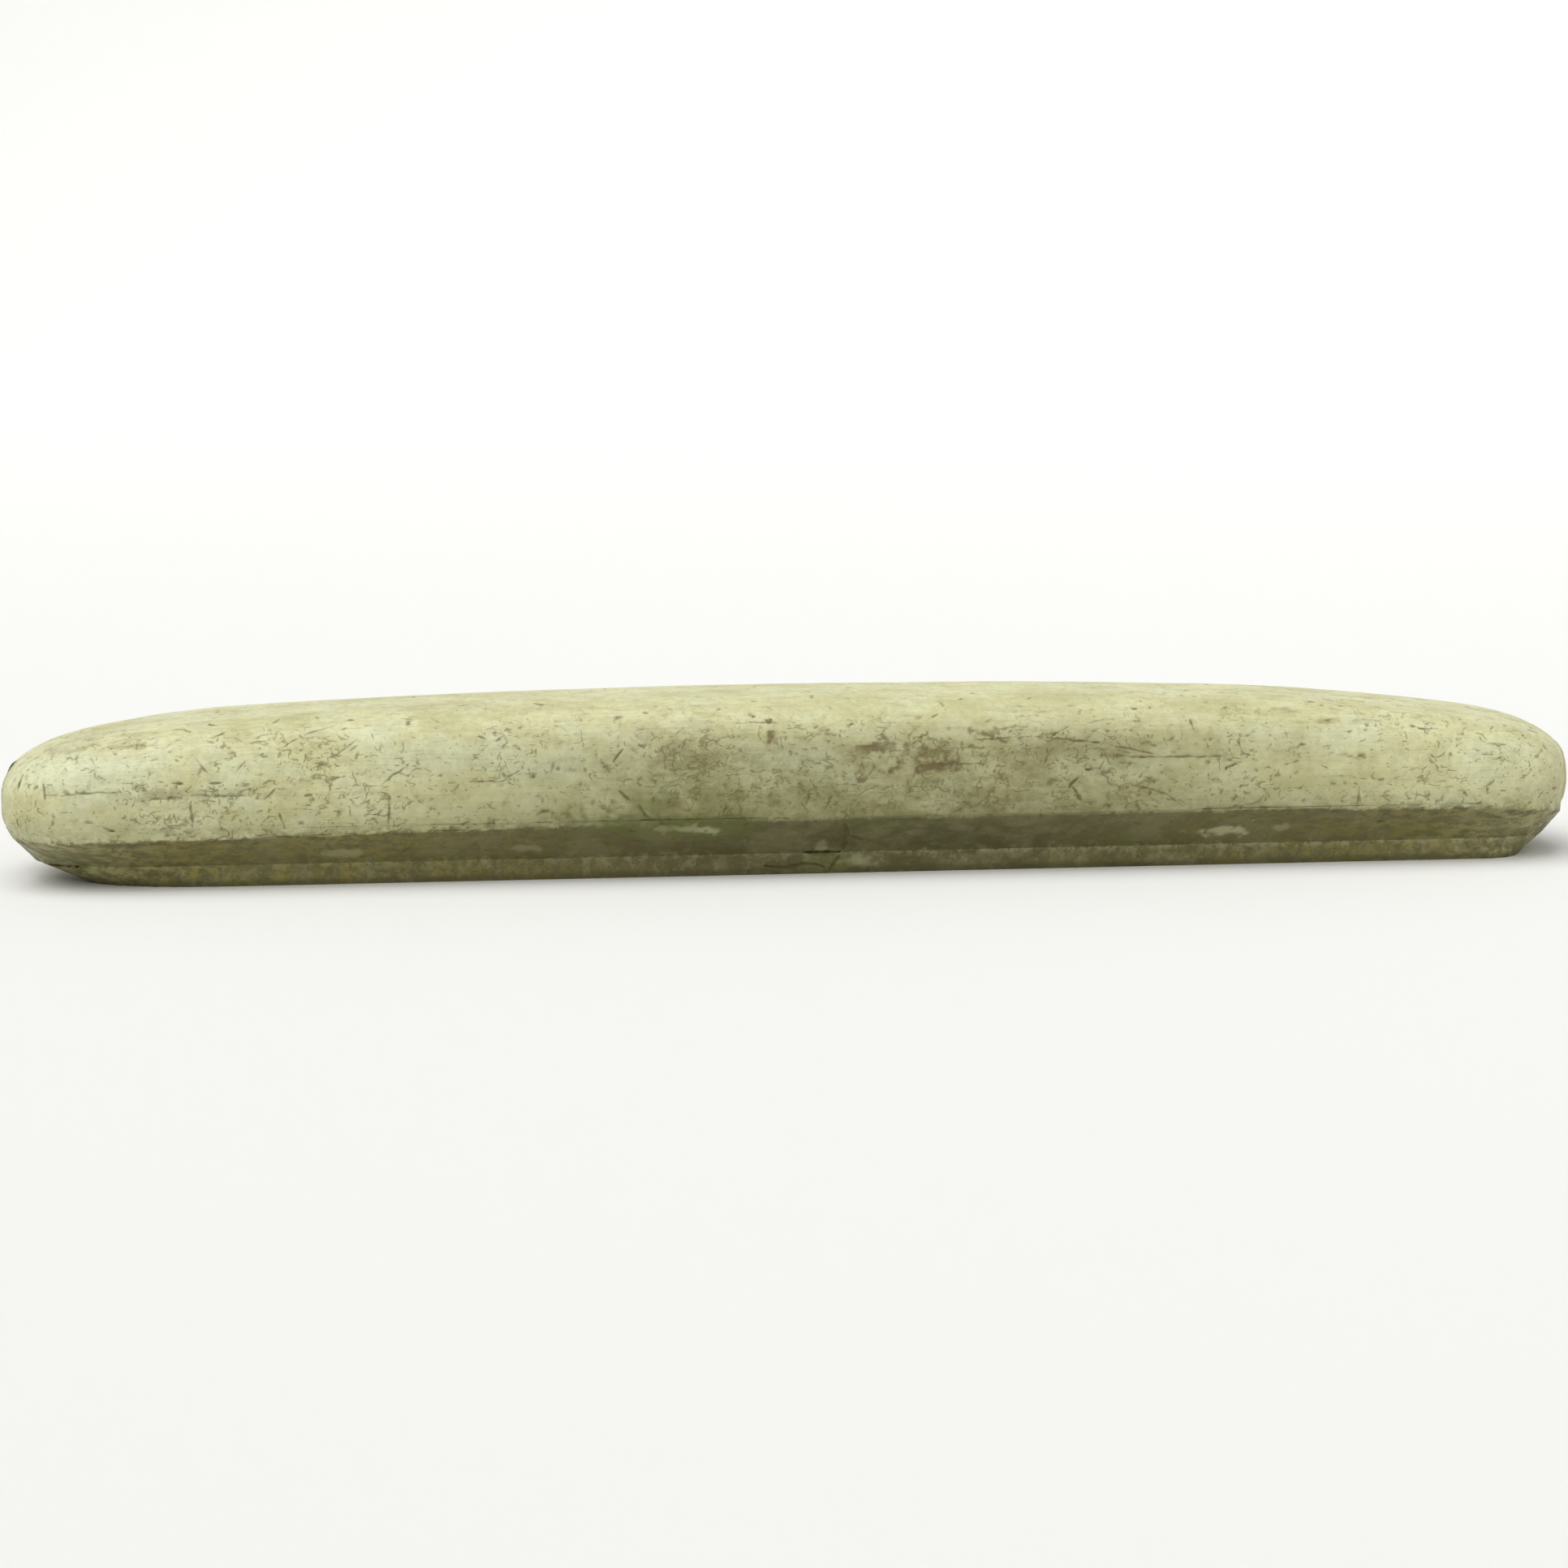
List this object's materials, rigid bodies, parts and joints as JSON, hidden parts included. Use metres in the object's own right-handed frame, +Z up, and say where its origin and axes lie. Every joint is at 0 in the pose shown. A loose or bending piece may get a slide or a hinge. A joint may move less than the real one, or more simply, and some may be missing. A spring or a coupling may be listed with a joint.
{
  "type": "didgeridoo",
  "caption": "Stout timber didgeridoo lying on a flat sole: crowned body with a chamfered lower edge, blunt rounded ends, a flaring bore and a pull-out mouthpiece with a wax rim.",
  "frame": {"origin": "middle of the overall length and width, on the ground under the sole", "axes": "+X along the bore towards the mouthpiece, +Y across the body, +Z up from the sole to the crown"},
  "size_m": [0.9995, 0.13, 0.1125],
  "materials": {
    "pale_timber": "satin, weathered and scratched",
    "shaded_timber": "satin, stained",
    "sole_timber": "satin, stained",
    "turned_timber": "satin, worn",
    "cork": "matt",
    "beeswax": "waxy satin",
    "dowel_timber": "matt"
  },
  "bodies": {
    "body": {"upper_shell": "pale_timber", "lower_shell": "shaded_timber", "sole_board": "sole_timber", "shell_dowel_1": "dowel_timber", "shell_dowel_2": "dowel_timber", "shell_dowel_3": "dowel_timber", "shell_dowel_4": "dowel_timber", "shell_dowel_5": "dowel_timber", "shell_dowel_6": "dowel_timber", "sole_dowel_1": "dowel_timber", "sole_dowel_2": "dowel_timber", "sole_dowel_3": "dowel_timber"},
    "mouthpiece_plug": {"mouthpiece": "turned_timber", "cork_sleeve": "cork", "wax_rim": "beeswax"}
  },
  "joints": [
    {"name": "mouthpiece_slide", "type": "slide", "parent": "body", "child": "mouthpiece_plug", "axis": [1, 0, 0], "range_m": [0, 0.07]}
  ]
}
